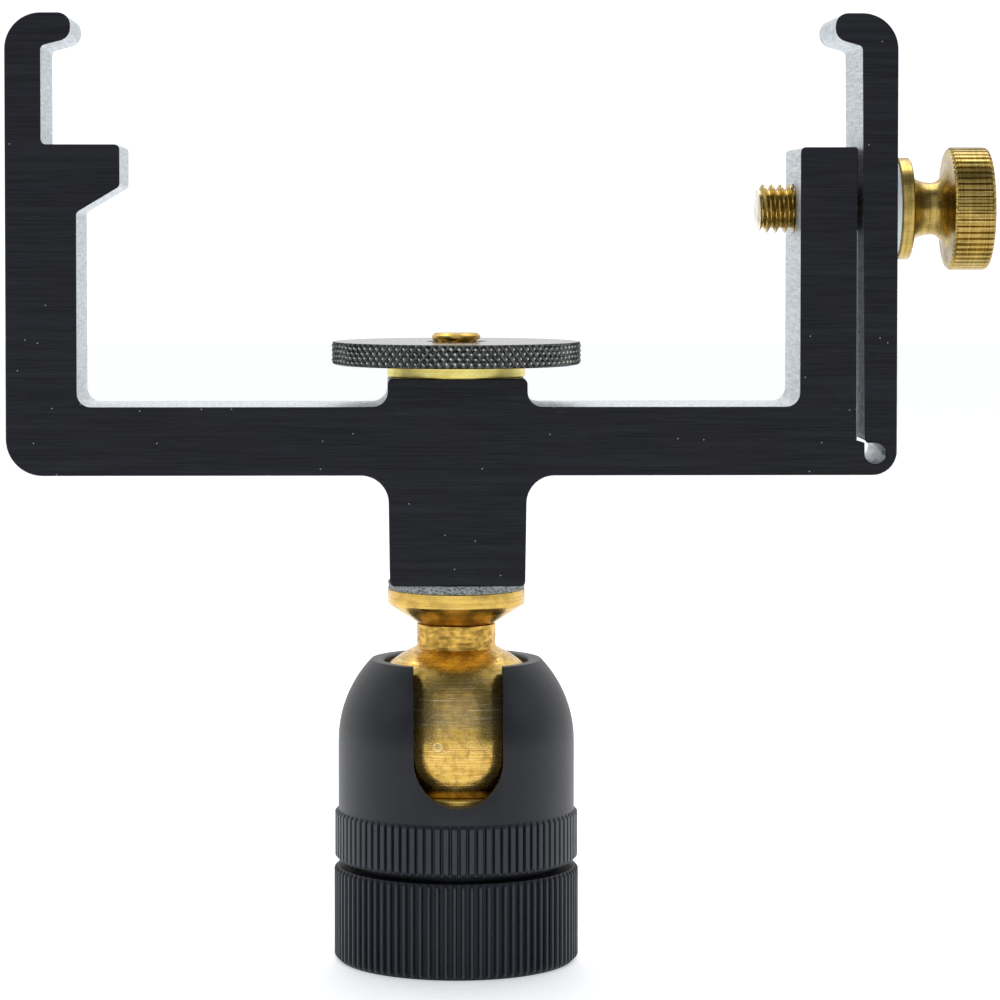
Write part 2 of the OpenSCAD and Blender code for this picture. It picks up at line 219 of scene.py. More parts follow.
# %% [markdown]
# ## Knurls and threads
#
# A straight knurl is a row of ridges, so its relief depends on the angle only. A diamond knurl is
# two sets of slanting grooves that cross, and what they leave between them are small pyramids. A
# thread is one groove that climbs by its pitch in each turn: its depth depends on the height less
# the share of a turn, which is what makes it a helix.

# %% Knurl and thread reliefs
def ramp(x):
    """0 below 0 and 1 above 1, with a smooth rise between them."""
    x = np.clip(x, 0, 1)
    return x * x * (3 - 2 * x)


def knurl_angles(ridges, crest, root):
    """Angles that put points on both edges and the middle of each ridge and of each groove."""
    share = np.array([-crest / 2, 0, crest / 2, 0.5 - root / 2, 0.5, 0.5 + root / 2])
    return ((np.arange(ridges)[:, None] + share) * 2 * np.pi / ridges).ravel()


def straight_knurl(angles, ridges, depth, crest, root):
    """Relief of ridges along the axis: 0 on a crest, -depth in a groove. The distance from the
    nearest crest, in ridges, says where on the flank a point lies."""
    away = np.abs((angles * ridges / (2 * np.pi) + 0.5) % 1 - 0.5)
    return -depth * ramp((away - crest / 2) / (0.5 - root / 2 - crest / 2))


def diamond_knurl(angles, height, ridges, depth, rise):
    """Relief of pyramids: two slanting waves, each 0 on its crest and 1 in its groove, and the
    deeper one wins. One is cut a little shallower. rise is the height that a groove climbs
    while it passes one ridge."""
    turn = angles * ridges / (2 * np.pi)
    lean = height / rise
    left = np.abs((turn + lean) % 1 - 0.5) * 2
    right = np.abs((turn - lean) % 1 - 0.5) * 2
    return -depth * np.maximum(left, 0.85 * right)


def thread(angles, height, pitch, depth):
    """Relief of a right-hand V thread: 0 on the crest, -depth in the groove. The place across
    one pitch is the height in pitches less the share of a turn."""
    place = np.abs((height / pitch - angles / (2 * np.pi)) % 1 - 0.5) * 2
    return -depth * np.clip((place - 0.1) / 0.72, 0, 1)


def smooth_noise(shape, cells, seed):
    """Soft random relief from -1 to 1 on a grid that wraps across its columns: random numbers on
    a coarse grid, blended along rows and columns with a smooth weight."""
    rng = np.random.default_rng(seed)
    coarse = rng.uniform(-1, 1, (cells[0] + 1, cells[1]))
    u = np.linspace(0, cells[0] - 1e-6, shape[0])[:, None]
    v = np.arange(shape[1])[None, :] * cells[1] / shape[1]
    i, j = u.astype(int), v.astype(int)
    s, t = ramp(u - i), ramp(v - j)
    k = (j + 1) % cells[1]
    near = coarse[i, j] * (1 - t) + coarse[i, k] * t
    far = coarse[i + 1, j] * (1 - t) + coarse[i + 1, k] * t
    return near * (1 - s) + far * s


M4_PITCH, M4_DEPTH = 0.7, 0.43
print("M4 thread:", M4_DEPTH, "mm deep, one groove every", M4_PITCH, "mm")

# %% [markdown]
# ## Finishes
#
# Every finish is one Principled shader with a few pattern nodes in front of it. All patterns read
# Object coordinates, which are metres here, so a grain can be given by its real size in
# millimetres: dividing the coordinates by the size of one cell makes one cell one unit of noise.

# %% Colours and nodes
def linear(code):
    """An sRGB hex colour as the linear light that shaders work in."""
    c = np.array([int(code[i:i + 2], 16) for i in (1, 3, 5)]) / 255
    c = np.where(c <= 0.04045, c / 12.92, ((c + 0.055) / 1.055) ** 2.4)
    return (*c.tolist(), 1.0)


def add(tree, kind, sockets=None, output=0, **settings):
    """Adds one node. Settings are its own properties. Each entry of sockets, by name or number, is
    a value, or another node's output to link. The answer is the output of that name or number."""
    node = tree.nodes.new(kind)
    for key, value in settings.items():
        setattr(node, key, value)
    for key, value in (sockets or {}).items():
        if isinstance(value, bpy.types.NodeSocket):
            tree.links.new(value, node.inputs[key])
        else:
            node.inputs[key].default_value = value
    return node.outputs[output]


def calc(tree, operation, one, other):
    """Two values added, subtracted, multiplied or compared."""
    return add(tree, "ShaderNodeMath", {0: one, 1: other}, operation=operation)


def new_finish(name, colour, metallic, roughness, **constants):
    """A material with one Principled shader and the coordinates for its patterns. Constants go
    straight onto the shader's sockets."""
    material = bpy.data.materials.new(name)
    material.use_nodes = True
    shader = material.node_tree.nodes["Principled BSDF"]
    shader.inputs["Base Color"].default_value = linear(colour)
    shader.inputs["Metallic"].default_value = metallic
    shader.inputs["Roughness"].default_value = roughness
    for key, value in constants.items():
        shader.inputs[key.replace("_", " ")].default_value = value
    add(material.node_tree, "ShaderNodeTexCoord")
    return material, material.node_tree, shader


def paint(tree, shader, colour, roughness=None):
    """Links a colour and, if there is one, a roughness to the shader."""
    tree.links.new(colour, shader.inputs["Base Color"])
    if roughness is not None:
        tree.links.new(roughness, shader.inputs["Roughness"])


def place_of(tree):
    """Where the point being shaded lies on its piece, in metres."""
    return tree.nodes["Texture Coordinate"].outputs["Object"]


def grain(tree, size, detail=2.0, turn=(0, 0, 0), offset=(0, 0, 0)):
    """Noise whose cells measure size = (x, y, z) millimetres. A long thin cell makes streaks."""
    place = add(tree, "ShaderNodeMapping",
                {"Vector": place_of(tree), "Rotation": [math.radians(t) for t in turn],
                 "Location": offset, "Scale": [1 / (s * MM) for s in size]})
    return add(tree, "ShaderNodeTexNoise", {"Vector": place, "Scale": 1.0, "Detail": detail})


def band(tree, value, low, high, to_low=0.0, to_high=1.0):
    """A value stretched so that low to high becomes to_low to to_high, and clamped there."""
    return add(tree, "ShaderNodeMapRange",
               {"Value": value, "From Min": low, "From Max": high,
                "To Min": to_low, "To Max": to_high})


def blend(tree, share, one, other):
    """A colour that goes from one to other as share goes from 0 to 1. Each is a hex code or a
    colour output."""
    one, other = (linear(c) if isinstance(c, str) else c for c in (one, other))
    node = tree.nodes.new("ShaderNodeMix")
    node.data_type = "RGBA"
    for socket, value in (("Factor_Float", share), ("A_Color", one), ("B_Color", other)):
        target = next(s for s in node.inputs if s.identifier == socket)
        if isinstance(value, bpy.types.NodeSocket):
            tree.links.new(value, target)
        else:
            target.default_value = value
    return next(s for s in node.outputs if s.identifier == "Result_Color")


def layered(tree, colour, *layers):
    """Lays colours over one another. Each layer (noise, low, high, share, other) covers nothing
    where its noise is low, and that share of what lies below it where its noise is high."""
    for noise, low, high, share, other in layers:
        colour = blend(tree, band(tree, noise, low, high, 0.0, share), colour, other)
    return colour


def relief(tree, shader, height, depth):
    """Bumps the surface by height times depth in millimetres."""
    tree.links.new(add(tree, "ShaderNodeBump", {"Height": height, "Distance": depth * MM,
                                                "Strength": 1.0}), shader.inputs["Normal"])


def specks(tree, cell, radius, share, turn=(0, 0, 0), flat=False):
    """1 inside small dots, 0 elsewhere: the points of a random scatter, one to a cell, of which
    only a share is kept. flat scatters them over the plate's face and not through its depth."""
    place = add(tree, "ShaderNodeMapping",
                {"Vector": place_of(tree), "Rotation": [math.radians(t) for t in turn],
                 "Scale": [1 / (cell * MM)] * 3})
    scatter = add(tree, "ShaderNodeTexVoronoi", {"Vector": place, "Scale": 1.0},
                  voronoi_dimensions="2D" if flat else "3D").node.outputs
    chosen = calc(tree, "GREATER_THAN", scatter["Color"], 1 - share)
    near = band(tree, scatter["Distance"], radius / cell, 0.6 * radius / cell)
    return calc(tree, "MULTIPLY", chosen, near)


# %% [markdown]
# ### Black anodised aluminium
#
# Anodising grows a thin hard oxide on the metal and dye turns it black. On the plate it lies over
# lengthwise brushing, so faint streaks run along X, with tiny bright nicks where the oxide has
# chipped. On the dome and the base it lies over a fine turned surface and reads as even satin.
# What the eye meets is the dyed oxide, not metal, so both are dielectric and quite rough.

# %% Black finishes
def brushed_black():
    """Black anodising over lengthwise brushing, with nicks."""
    material, tree, shader = new_finish("brushed_black_anodising", "#0f1012", 0.0, 0.44,
                                        Specular_IOR_Level=0.2)
    brushing = grain(tree, (6.0, 6.0, 0.12), detail=4.0)
    coarse = grain(tree, (11.0, 11.0, 0.45), detail=2.0, offset=(5, 2, 1))
    scuffs = grain(tree, (1.8, 1.8, 0.07), detail=2.0, offset=(3, 1, 7))
    dye = grain(tree, (6.0, 6.0, 4.0), detail=2.0)
    colour = blend(tree, band(tree, brushing, 0.4, 0.62), "#040407", "#191b21")
    colour = layered(tree, colour, (coarse, 0.45, 0.7, 0.5, "#22252a"),
                     (dye, 0.4, 0.65, 0.35, "#1b161d"), (scuffs, 0.66, 0.76, 0.3, "#4c5055"))
    nicks = specks(tree, 2.6, 0.05, 0.3, turn=(90, 0, 0), flat=True)
    paint(tree, shader, blend(tree, nicks, colour, "#b9bcbf"),
          band(tree, brushing, 0.35, 0.65, 0.36, 0.52))
    relief(tree, shader, brushing, 0.02)
    return material


def satin_black(name, base, crest_colour, gloss):
    """Satin black anodising on turned metal. The piece's own crest attribute is 1 on the crests
    of a knurl, where handling has thinned the dye; the lighter crest colour is also a painted
    highlight on the ridges."""
    material, tree, shader = new_finish(name, base, 0.0, 0.42, Specular_IOR_Level=gloss)
    blast = grain(tree, (0.09, 0.09, 0.09), detail=2.0)
    cloud = grain(tree, (4.0, 4.0, 4.0), detail=2.0)
    colour = blend(tree, band(tree, cloud, 0.35, 0.65, 0.0, 0.5), base, "#11151d")
    crest = add(tree, "ShaderNodeAttribute", output="Fac", attribute_name="crest")
    # Partly wear, partly painted highlight: the crests get a lighter colour for thinned dye and for
    # the light that the ridges catch.
    worn = calc(tree, "MULTIPLY", crest, band(tree, blast, 0.3, 0.7, 0.4, 1.0))
    colour = blend(tree, worn, colour, crest_colour)
    dust = specks(tree, 1.3, 0.055, 0.24)
    paint(tree, shader, blend(tree, dust, colour, "#c4c6c8"),
          band(tree, blast, 0.3, 0.7, 0.38, 0.5))
    relief(tree, shader, blast, 0.003)
    return material


BRUSHED_BLACK = brushed_black()
DOME_BLACK = satin_black("satin_black_anodising", "#090d15", "#2d3138", 0.45)
RING_BLACK = satin_black("matt_black_anodising", "#040508", "#3a3e47", 0.32)
print("black finishes:", BRUSHED_BLACK.name, DOME_BLACK.name, RING_BLACK.name)

# %% [markdown]
# ### Bare aluminium, steel, fibre and nylon
#
# The plate was cut out after it was dyed, so its cut faces are bare metal with fine marks across
# the thickness from the cutter. The clamp disc is steel with a thin black oxide: dark from above,
# and almost a mirror when seen along its surface.

# %% Bare aluminium and the other small finishes
# Height on the slot's walls above which they are painted black: painted shade for the screw's
# shadow in the slot.
SLOT_SHADE_Z = 58.4


def milled_aluminium():
    """Bare metal as the cutter left it: marks across the plate's thickness, and a matt bloom."""
    material, tree, shader = new_finish("bare_milled_aluminium", "#cdd2d5", 1.0, 0.42)
    marks = grain(tree, (0.16, 3.0, 0.16), detail=3.0)
    bloom = grain(tree, (0.5, 0.5, 0.5), detail=4.0)
    colour = blend(tree, band(tree, marks, 0.35, 0.65), "#b0b6ba", "#cdd3d6")
    colour = blend(tree, band(tree, bloom, 0.5, 0.72, 0.0, 0.5), colour, "#969ca2")
    paint(tree, shader, colour, band(tree, bloom, 0.3, 0.7, 0.36, 0.55))
    relief(tree, shader, marks, 0.012)
    return material


def sawn_slot():
    """The slot's sawn walls: bright smeared metal below the screw, and painted shade above it,
    black, for the shadow that the screw casts in the slot."""
    material, tree, shader = new_finish("sawn_slot", "#e6e9eb", 1.0, 0.03)
    saw = grain(tree, (0.2, 3.0, 0.2), detail=3.0)
    colour = blend(tree, band(tree, saw, 0.35, 0.65), "#dfe3e5", "#f6f7f8")
    height = add(tree, "ShaderNodeSeparateXYZ", {0: place_of(tree)}, "Z")
    # Painted shade: the wall turns black above the shade line, for the screw's shadow in the slot.
    blackened = band(tree, height, (SLOT_SHADE_Z - 0.2) * MM, (SLOT_SHADE_Z + 0.2) * MM)
    paint(tree, shader, blend(tree, blackened, colour, "#17181a"))
    return material


def black_oxide():
    """Glossy black oxide on steel, with the points of the knurl near white: partly wear to bare
    steel, partly a painted highlight for their glints.
    """
    material, tree, shader = new_finish("black_oxide_steel", "#2b2d2c", 1.0, 0.16)
    cloud = grain(tree, (0.3, 0.3, 0.3), detail=3.0)
    colour = blend(tree, band(tree, cloud, 0.35, 0.7), "#3a3c3a", "#61635e")
    crest = add(tree, "ShaderNodeAttribute", output="Fac", attribute_name="crest")
    # Painted highlight and wear: the knurl's points are painted near white for their glints, and
    # for the oxide worn off them.
    colour = blend(tree, band(tree, crest, 0.55, 1.0), colour, "#dadad2")
    paint(tree, shader, colour, band(tree, cloud, 0.3, 0.7, 0.12, 0.26))
    return material


def grey_fibre():
    """Pressed friction fibre: grey with dark flecks, and quite rough."""
    material, tree, shader = new_finish("grey_pressed_fibre", "#8b8e8b", 0.0, 0.85)
    flecks = grain(tree, (0.22, 0.22, 0.12), detail=5.0)
    paint(tree, shader, blend(tree, band(tree, flecks, 0.36, 0.62), "#4d524e", "#a9aeaa"))
    relief(tree, shader, flecks, 0.04)
    return material


def white_nylon():
    """Turned nylon: white, soft and slightly waxy."""
    material, tree, shader = new_finish("white_nylon", "#ecece7", 0.0, 0.4,
                                        Subsurface_Weight=0.2, Subsurface_Scale=0.0005)
    turning = grain(tree, (0.08, 4.0, 4.0), detail=2.0)
    paint(tree, shader, blend(tree, band(tree, turning, 0.3, 0.7), "#e2e2dc", "#f2f2ee"))
    relief(tree, shader, turning, 0.004)
    return material


def spring_steel():
    """Rolled spring steel with a light grey sheen."""
    material, tree, shader = new_finish("spring_steel", "#a9adb0", 1.0, 0.3)
    rolling = grain(tree, (3.0, 0.1, 3.0), detail=3.0)
    paint(tree, shader, blend(tree, band(tree, rolling, 0.3, 0.7), "#94989b", "#b9bdbf"),
          band(tree, rolling, 0.3, 0.7, 0.24, 0.38))
    return material


BARE = milled_aluminium()
SAWN = sawn_slot()
BLACK_OXIDE = black_oxide()
FIBRE = grey_fibre()
NYLON = white_nylon()
SPRING = spring_steel()
print("other finishes:", *(m.name for m in (BARE, SAWN, BLACK_OXIDE, FIBRE, NYLON, SPRING)))

# %% [markdown]
# ### Brass
#
# Brass is a metal, so its colour is the colour of its reflections. The lathe leaves rings round
# the axis, which for the thumbscrew is X and for everything else is Z. The ball and its neck have
# seen years of use: the rings are rubbed, short scratches run across them, and tarnish has
# settled in patches.

# %% Brass finishes
def turned_brass(name, colour, dull, tarnish, ring, wear, roughness):
    """Turned brass. ring is the cell of its turning marks, wear how much is scratched and
    tarnished, from 0 to 1."""
    material, tree, shader = new_finish(name, colour, 1.0, roughness)
    rings = grain(tree, ring, detail=3.0)
    patches = grain(tree, (1.6, 1.6, 1.1), detail=5.0)
    pits = grain(tree, (0.16, 0.16, 0.16), detail=3.0)
    scratches = [grain(tree, (2.6, 0.3, 0.05), detail=1.0, turn=(0, 24 * k, 9 * k),
                       offset=(k, 2 * k, 3 * k)) for k in (1, -2, 3)]
    tint = layered(tree, blend(tree, band(tree, rings, 0.36, 0.64), dull, colour),
                   (patches, 0.5, 0.68, 0.35 + 0.5 * wear, tarnish),
                   (pits, 0.62, 0.7, 0.5 * wear, "#4a3716"),
                   *((scratch, 0.66, 0.72, wear, "#f0d59a") for scratch in scratches))
    paint(tree, shader, tint,
          band(tree, patches, 0.3, 0.7, roughness, roughness + 0.1 + 0.12 * wear))
    height = calc(tree, "ADD", rings, calc(tree, "MULTIPLY", pits, wear))
    relief(tree, shader, height, 0.006 + 0.012 * wear)
    return material


def worn_ball():
    """The ball's brass, long rubbed by its socket. Turned rings and scratches run across it, a
    dull band lies where it is gripped, and a drill once left a ring-shaped dent near the front.
    Above the ball, on the neck, the rings give way to blotches."""
    material, tree, shader = new_finish("worn_ball_brass", "#dcb45d", 1.0, 0.2)
    height = add(tree, "ShaderNodeSeparateXYZ", {0: place_of(tree)}, "Z")
    neck = band(tree, height, 24.9 * MM, 25.2 * MM)
    rings = grain(tree, (12.0, 12.0, 0.1), detail=3.0)
    wide = grain(tree, (14.0, 14.0, 0.9), detail=2.0, offset=(1, 4, 2))
    lines = grain(tree, (4.0, 4.0, 0.06), detail=1.0, offset=(7, 1, 5))
    blotch = grain(tree, (0.55, 0.55, 0.55), detail=6.0)
    pits = grain(tree, (0.13, 0.13, 0.13), detail=3.0)
    rise = band(tree, height, 19.3 * MM, 19.9 * MM)
    fall = band(tree, height, 22.4 * MM, 21.6 * MM)
    gripped = calc(tree, "MULTIPLY", rise, fall)
    tint = layered(tree, blend(tree, band(tree, rings, 0.38, 0.62), "#c89d48", "#e3bd68"),
                   (wide, 0.4, 0.62, 0.5, "#eabf5c"), (blotch, 0.47, 0.62, 0.55, "#a07c38"))
    worn = calc(tree, "MULTIPLY", gripped, band(tree, blotch, 0.3, 0.6, 0.35, 0.85))
    tint = blend(tree, worn, tint, "#ab925f")
    scratches = [grain(tree, (2.2, 0.4, 0.05), detail=1.0, turn=turn, offset=offset)
                 for turn, offset in (((0, 62, 12), (1, 2, 3)), ((0, -38, 8), (4, 1, 6)),
                                      ((0, 84, 4), (2, 8, 1)))]
    tint = layered(tree, tint, (lines, 0.68, 0.72, 0.9, "#ffe9b4"),
                   *((scratch, 0.68, 0.72, 0.7, "#f6dfa4") for scratch in scratches),
                   (pits, 0.64, 0.7, 0.55, "#4a3716"))
    speckle = layered(tree, blend(tree, band(tree, blotch, 0.42, 0.6), "#e0b455", "#b38c40"),
                      (pits, 0.58, 0.68, 0.35, "#f3d287"))
    tint = blend(tree, neck, tint, speckle)
    dent_at = Vector((-1.6, -8.03, 18.0)) * MM
    away = add(tree, "ShaderNodeVectorMath", {0: place_of(tree), 1: dent_at}, "Value",
               operation="DISTANCE")
    outer = band(tree, away, 0.16 * MM, 0.28 * MM, 0.35)
    inner = band(tree, away, 0.42 * MM, 0.34 * MM)
    dent = calc(tree, "MULTIPLY", outer, inner)
    tint = blend(tree, dent, tint, "#e0c283")
    soft = band(tree, neck, 0, 1, 0.0, 0.14)
    rough = band(tree, blotch, 0.35, 0.65, 0.17, 0.3)
    paint(tree, shader, tint, calc(tree, "ADD", rough, soft))
    heights = calc(tree, "ADD", calc(tree, "ADD", rings, blotch), pits)
    relief(tree, shader, calc(tree, "SUBTRACT", heights, dent), 0.008)
    return material


ROUND_Z = (9.0, 9.0, 0.09)
ROUND_X = (0.07, 9.0, 9.0)
WORN_BRASS = worn_ball()
BRIGHT_BRASS = turned_brass("bright_turned_brass", "#dab860", "#c09a48", "#94743a", ROUND_Z,
                            0.3, 0.2)
SCREW_BRASS = turned_brass("thumbscrew_brass", "#bfa459", "#927a3f", "#66562b", ROUND_X,
                           0.35, 0.19)
# The screw's tip end is brass painted near white: a painted reflection of the bright surroundings
# that its flat end mirrors.
PAINTED_TIP_BRASS = turned_brass("tip_brass_painted_reflection", "#fbf6ea", "#ece2cf", "#c9b998", ROUND_X, 0.2, 0.5)
# The disc washer's brass is a much lighter copy of the turned brass: painted light, to lift it out
# of the shade under the disc and stand in for a bright reflection.
LIT_WASHER_BRASS = turned_brass("washer_brass_painted_bright", "#fff39a", "#f6e27e", "#d8b954", ROUND_Z, 0.2,
                            0.34)
print("brass finishes:", *(m.name for m in (WORN_BRASS, BRIGHT_BRASS, SCREW_BRASS, PAINTED_TIP_BRASS,
                                            LIT_WASHER_BRASS)))

# %% [markdown]
# ## The yoke plate and its sprung arm
#
# The plate is one outline carried through its thickness, so its mesh is four copies of that
# outline: the front edge set in a little, the full outline twice, and the back edge set in again.
# The small step between them is the broken edge that catches the light. The slot ends in a relief
# hole, and only the thin web beside it joins the arm to the plate, so the outline is cut there
# into two loops that ride on two bodies.

# %% Outlines of the plate
PLATE_T, PLATE_EDGE = 10.5, 0.07
WEB_Z, WEB_GAP = 40.8, 0.014
RELIEF_X, RELIEF_R = 32.9, 0.84
SLOT_LEFT, SLOT_RIGHT, POST_TOP = 31.45, 32.05, 64.9


def rounded(corners):
    """An outline from (x, z, radius) corners: a round corner becomes an arc that touches both its
    sides, and radius 0 leaves the corner as it is. Neighbours wrap round."""
    runs = []
    for k, (x, z, radius) in enumerate(corners):
        here = np.array([x, z])
        back = np.array(corners[k - 1][:2]) - here
        ahead = np.array(corners[(k + 1) % len(corners)][:2]) - here
        back, ahead = back / np.linalg.norm(back), ahead / np.linalg.norm(ahead)
        half = math.acos(np.clip(back @ ahead, -1, 1)) / 2
        if radius == 0:
            runs.append(here[None])
            continue
        middle = (back + ahead) / np.linalg.norm(back + ahead)
        centre = here + middle * radius / math.sin(half)
        start, stop = (here + d * radius / math.tan(half) - centre for d in (back, ahead))
        first = math.atan2(start[1], start[0])
        sweep = (math.atan2(stop[1], stop[0]) - first + math.pi) % (2 * math.pi) - math.pi
        steps = max(3, math.ceil(abs(sweep) * (radius + 0.6) / 0.35))
        runs.append(arc(centre, radius, math.degrees(first), math.degrees(first + sweep), steps))
    return np.vstack(runs)


HEEL_R = 1.9
HEEL = (34.6 - HEEL_R, 39.1 + HEEL_R)
WEB_LOW, WEB_HIGH = WEB_Z - WEB_GAP / 2, WEB_Z + WEB_GAP / 2
heel_low = math.degrees(math.asin((WEB_LOW - HEEL[1]) / HEEL_R))
heel_high = math.degrees(math.asin((WEB_HIGH - HEEL[1]) / HEEL_R))
RELIEF = (RELIEF_X, WEB_Z)
RELIEF_TURN = math.degrees(math.asin(WEB_GAP / 2 / RELIEF_R))

# Corners that are sliced off again only steer the rounding of their neighbours.
YOKE_OUTLINE = np.vstack([
    rounded([(34.0, WEB_LOW, 0), (33.2, 44.0, 0), (SLOT_LEFT, 41.85, 0), (SLOT_LEFT, SLOT_SHADE_Z, 0),
             (SLOT_LEFT, POST_TOP, 0.2), (26.95, POST_TOP, 0.4), (26.95, 44.5, 1.1),
             (5.5, 44.5, 1.2), (5.5, 46.7, 0.4), (-5.5, 46.7, 0.4), (-5.5, 44.5, 1.2),
             (-29.88, 44.5, 1.1), (-29.88, 59.77, 0.4), (-26.48, 61.8, 0.4),
             (-26.48, 65.1, 0.4), (-32.63, 65.1, 0.4), (-32.63, 72.8, 0.4),
             (-30.3, 73.4, 1.0), (-30.3, 75.4, 1.0), (-35.45, 75.4, 2.85), (-35.45, 39.1, 2.9),
             (-5.45, 39.1, 2.2), (-5.33, 30.36, 0.4), (5.33, 30.36, 0.4), (5.45, 39.1, 2.2),
             (32.0, 39.1, 0)])[2:-1],
    arc(HEEL, HEEL_R, -90, heel_low, 8),
    arc(RELIEF, RELIEF_R, -RELIEF_TURN, -180, 20),
    [(SLOT_RIGHT, 41.65)]])
ARM_OUTLINE = np.vstack([
    arc(HEEL, HEEL_R, heel_high, 0, 2),
    rounded([(34.6, 41.0, 0), (34.6, 75.4, 2.85), (29.651, 75.4, 1.0), (29.651, 73.4, 1.0),
             (31.781, 72.8, 0.4), (SLOT_RIGHT, 41.85, 0)])[1:],
    [(32.25, 41.64)],
    arc(RELIEF, RELIEF_R, 90, RELIEF_TURN, 10)])
print("plate outlines:", len(YOKE_OUTLINE), "and", len(ARM_OUTLINE), "corners")

# %% Plate pieces
def set_in(outline, distance):
    """An outline moved inwards: each corner shifts along the mean of its two sides' inward
    normals, lengthened so that both sides move by the distance. The web's cut stays put."""
    back, ahead = outline - np.roll(outline, 1, 0), np.roll(outline, -1, 0) - outline
    turn = np.array([[0.0, -1.0], [1.0, 0.0]])
    normals = [d / np.linalg.norm(d, axis=1, keepdims=True) @ turn.T for d in (back, ahead)]
    area = np.sum(outline[:, 0] * np.roll(outline[:, 1], -1)
                  - outline[:, 1] * np.roll(outline[:, 0], -1))
    middle = (normals[0] + normals[1]) * math.copysign(0.5, area)
    shift = middle / np.maximum(np.sum(middle ** 2, axis=1, keepdims=True), 0.3) * distance
    web = (outline[:, 0] > RELIEF_X) & (np.abs(outline[:, 1] - WEB_Z) < 0.02)
    shift[web] = 0
    return outline + shift


def carried(levels):
    """A solid from outlines carried along Y: one row of corners for each (outline, y), closed by
    a face on the first row and one on the last. Each cap runs against its neighbours' edges."""
    points = np.concatenate([np.column_stack([o[:, 0], np.full(len(o), y), o[:, 1]])
                             for o, y in levels])
    count = len(levels[0][0])
    sides = outward(points, grid_faces(len(levels), count))
    cap = list(range(count))
    far = [c + len(points) - count for c in cap]
    along = list(sides[0][:2]) == [0, 1]
    caps = [cap[::-1], far] if along else [cap, far[::-1]]
    return points, [list(f) for f in sides] + caps


def plate(outline):
    """The outline through the plate's thickness, with broken edges. The last answer is each
    face's material: 0 for dyed faces and edges, 1 for bare metal and for the bright burr that the
    saw left low on the post's front edge, 2 for the slot's walls."""
    inner, half = set_in(outline, PLATE_EDGE), PLATE_T / 2
    points, faces = carried([(inner, -half), (outline, PLATE_EDGE - half),
                             (outline, half - PLATE_EDGE), (inner, half)])
    ends = np.stack([outline, np.roll(outline, -1, 0)])
    x, z = ends[..., 0], ends[..., 1]
    slot = ((x > SLOT_LEFT - 0.05) & (x < SLOT_RIGHT + 0.25) & (z < POST_TOP - 0.1)).all(axis=0)
    burr = slot & ((x < SLOT_LEFT + 0.05) & (z < SLOT_SHADE_Z + 0.1)).all(axis=0)
    blackened = np.zeros(len(outline), int)
    return points, faces, np.concatenate([np.where(burr, 1, 0), np.where(slot, 2, 1), blackened,
                                          [0, 0]])


def cut(piece, inside, *shapes):
    """Takes closed shapes of (points in mm, faces) out of a piece, for holes and slots, whose
    walls get the material inside."""
    for points, faces in shapes:
        tool = in_scene("cutter", points, faces, inside)
        merge_points(tool)
        modifier = piece.modifiers.new("cut", "BOOLEAN")
        modifier.object, modifier.operation, modifier.solver = tool, "DIFFERENCE", "EXACT"
        modifier.material_mode = "TRANSFER"
        apply(piece, modifier)
        bpy.data.meshes.remove(tool.data)


SCREW_Z = 60.1


def laid(points, faces):
    """A shape built about Z, turned so that it lies about the thumbscrew's axis along X."""
    x, y, z = points.T
    return np.stack([z, y, SCREW_Z - x], axis=1), faces


def rod(radius, start, stop, count=64):
    """A closed cylinder about Z from start to stop, to cut holes with."""
    outline = np.array([[0, start], [radius, start], [radius, stop], [0, stop]], float)
    return lathe(outline, even_angles(count))


points, faces, kinds = plate(YOKE_OUTLINE)
yoke = new_piece("yoke_plate", points, faces, [BRUSHED_BLACK, BARE, SAWN], "yoke",
                 "brushed_black_anodised", "yoke", face_material=kinds)
M4_HOLE_R, ARM_HOLE_R = 2.0, 2.3
cut(yoke, BARE, rod(M4_HOLE_R, 29.0, 48.0), laid(*rod(M4_HOLE_R, 26.0, 32.0)))
points, faces, kinds = plate(ARM_OUTLINE)
arm = new_piece("arm_plate", points, faces, [BRUSHED_BLACK, BARE, SAWN], "jaw_arm",
                "brushed_black_anodised", "jaw_arm", face_material=kinds)
cut(arm, BARE, laid(*rod(ARM_HOLE_R, 31.0, 36.0)))

# %% [markdown]
# ## The dome and the base
#
# Both are turned rings with a straight knurl pressed into a band. The knurl only changes the
# radius, so it is a relief on the lathe's grid, and it fades out at the ends of the band where
# the chamfers run below its roots. The dome's slot is a boolean: a window this plain is easier to
# cut than to leave out of a grid. A crest attribute records where the ridges stand highest, for
# the finish to wear and to paint a highlight on.

# %% Knurled band
RIDGE_D = 0.25


def band_relief(outline, angles, low, high, radius, depth, ridges, crest, root):
    """The knurl's relief on the rows between two heights, where the profile stands further out
    than the roots of its grooves. Elsewhere it is 0."""
    r, z = outline[:, :1], outline[:, 1:]
    inside = (z > low - 1e-6) & (z < high + 1e-6) & (r > radius - depth)
    carved = np.minimum(r, radius + straight_knurl(angles, ridges, depth, crest, root)[None])
    return np.where(inside, carved - r, 0.0)


def mark_crests(piece, radius, depth, low=-math.inf, high=math.inf):
    """Writes the crest attribute: 1 where a point stands at the knurl's full radius, 0 at the
    bottom of its grooves and away from the band between low and high."""
    x, y, z = points_of(piece.data).T
    crest = np.clip((np.hypot(x, y) - radius + depth) / depth, 0, 1) * (z > low) * (z < high)
    layer = piece.data.attributes.new("crest", "FLOAT", "POINT")
    layer.data.foreach_set("value", crest.astype(np.float32))


